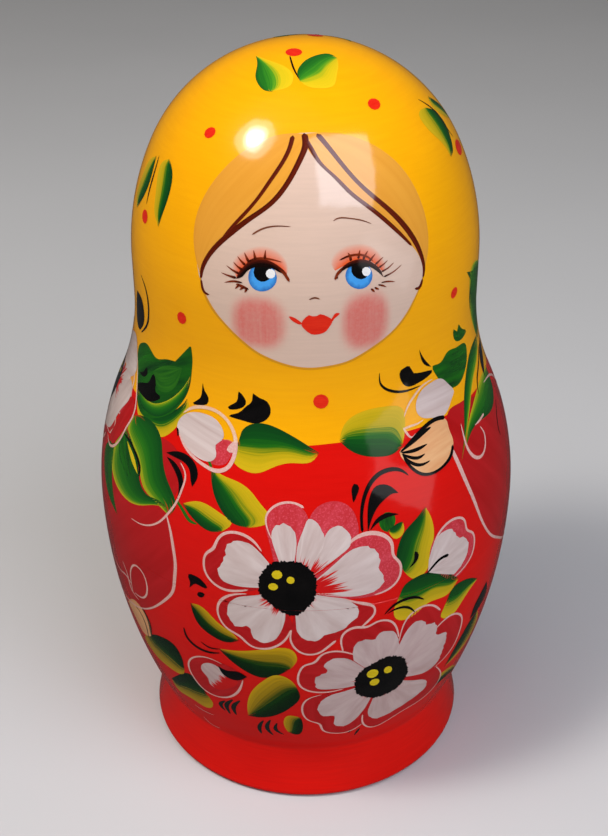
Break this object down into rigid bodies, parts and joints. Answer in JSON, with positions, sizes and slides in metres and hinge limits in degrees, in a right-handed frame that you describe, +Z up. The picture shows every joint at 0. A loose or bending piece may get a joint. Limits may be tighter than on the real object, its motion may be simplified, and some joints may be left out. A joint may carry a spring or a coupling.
{
  "type": "matryoshka nesting doll",
  "caption": "Turned wooden nesting doll with a head scarf and flowers; it opens at the belly and smaller dolls of the same shape stand inside one another.",
  "frame": {"origin": "middle of the underside of the outermost foot, on the surface the doll stands on", "axes": "+Z up along the turning axis, the face looks along -Y, +X to the right of someone who faces the doll"},
  "size_m": [0.117, 0.117, 0.2071],
  "materials": {
    "painted_body": "painted and glossy varnished",
    "painted_scarf": "painted and glossy varnished"
  },
  "bodies": {
    "outer_lower_half": {"outer_lower_half": "painted_body"},
    "second_lower_half": {"second_lower_half": "painted_body"},
    "third_lower_half": {"third_lower_half": "painted_body"},
    "fourth_lower_half": {"fourth_lower_half": "painted_body"},
    "fifth_lower_half": {"fifth_lower_half": "painted_body"},
    "sixth_lower_half": {"sixth_lower_half": "painted_body"},
    "innermost_doll": {"innermost_doll": "painted_body"},
    "outer_upper_half": {"outer_upper_half": "painted_scarf"},
    "second_upper_half": {"second_upper_half": "painted_scarf"},
    "third_upper_half": {"third_upper_half": "painted_scarf"},
    "fourth_upper_half": {"fourth_upper_half": "painted_scarf"},
    "fifth_upper_half": {"fifth_upper_half": "painted_scarf"},
    "sixth_upper_half": {"sixth_upper_half": "painted_scarf"}
  },
  "joints": [
    {"name": "outer_upper_lift", "type": "slide", "parent": "outer_lower_half", "child": "outer_upper_half", "axis": [0, 0, 1], "range_m": [0, 0.6825]},
    {"name": "second_lower_lift", "type": "slide", "parent": "outer_lower_half", "child": "second_lower_half", "axis": [0, 0, 1], "range_m": [0, 0.0815]},
    {"name": "third_lower_lift", "type": "slide", "parent": "second_lower_half", "child": "third_lower_half", "axis": [0, 0, 1], "range_m": [0, 0.0653]},
    {"name": "fourth_lower_lift", "type": "slide", "parent": "third_lower_half", "child": "fourth_lower_half", "axis": [0, 0, 1], "range_m": [0, 0.0525]},
    {"name": "fifth_lower_lift", "type": "slide", "parent": "fourth_lower_half", "child": "fifth_lower_half", "axis": [0, 0, 1], "range_m": [0, 0.0425]},
    {"name": "sixth_lower_lift", "type": "slide", "parent": "fifth_lower_half", "child": "sixth_lower_half", "axis": [0, 0, 1], "range_m": [0, 0.0347]},
    {"name": "innermost_lift", "type": "slide", "parent": "sixth_lower_half", "child": "innermost_doll", "axis": [0, 0, 1], "range_m": [0, 0.0285]},
    {"name": "second_upper_lift", "type": "slide", "parent": "second_lower_half", "child": "second_upper_half", "axis": [0, 0, 1], "range_m": [0, 0.4991]},
    {"name": "third_upper_lift", "type": "slide", "parent": "third_lower_half", "child": "third_upper_half", "axis": [0, 0, 1], "range_m": [0, 0.3525]},
    {"name": "fourth_upper_lift", "type": "slide", "parent": "fourth_lower_half", "child": "fourth_upper_half", "axis": [0, 0, 1], "range_m": [0, 0.235]},
    {"name": "fifth_upper_lift", "type": "slide", "parent": "fifth_lower_half", "child": "fifth_upper_half", "axis": [0, 0, 1], "range_m": [0, 0.1401]},
    {"name": "sixth_upper_lift", "type": "slide", "parent": "sixth_lower_half", "child": "sixth_upper_half", "axis": [0, 0, 1], "range_m": [0, 0.0631]}
  ],
  "couplings": [
    {"joint": "second_lower_lift", "follows": "outer_upper_lift", "ratio": 0.11927},
    {"joint": "third_lower_lift", "follows": "outer_upper_lift", "ratio": 0.09548},
    {"joint": "fourth_lower_lift", "follows": "outer_upper_lift", "ratio": 0.07681},
    {"joint": "fifth_lower_lift", "follows": "outer_upper_lift", "ratio": 0.06216},
    {"joint": "sixth_lower_lift", "follows": "outer_upper_lift", "ratio": 0.05067},
    {"joint": "innermost_lift", "follows": "outer_upper_lift", "ratio": 0.04165},
    {"joint": "second_upper_lift", "follows": "outer_upper_lift", "ratio": 0.73116},
    {"joint": "third_upper_lift", "follows": "outer_upper_lift", "ratio": 0.51641},
    {"joint": "fourth_upper_lift", "follows": "outer_upper_lift", "ratio": 0.34412},
    {"joint": "fifth_upper_lift", "follows": "outer_upper_lift", "ratio": 0.20515},
    {"joint": "sixth_upper_lift", "follows": "outer_upper_lift", "ratio": 0.09232}
  ]
}
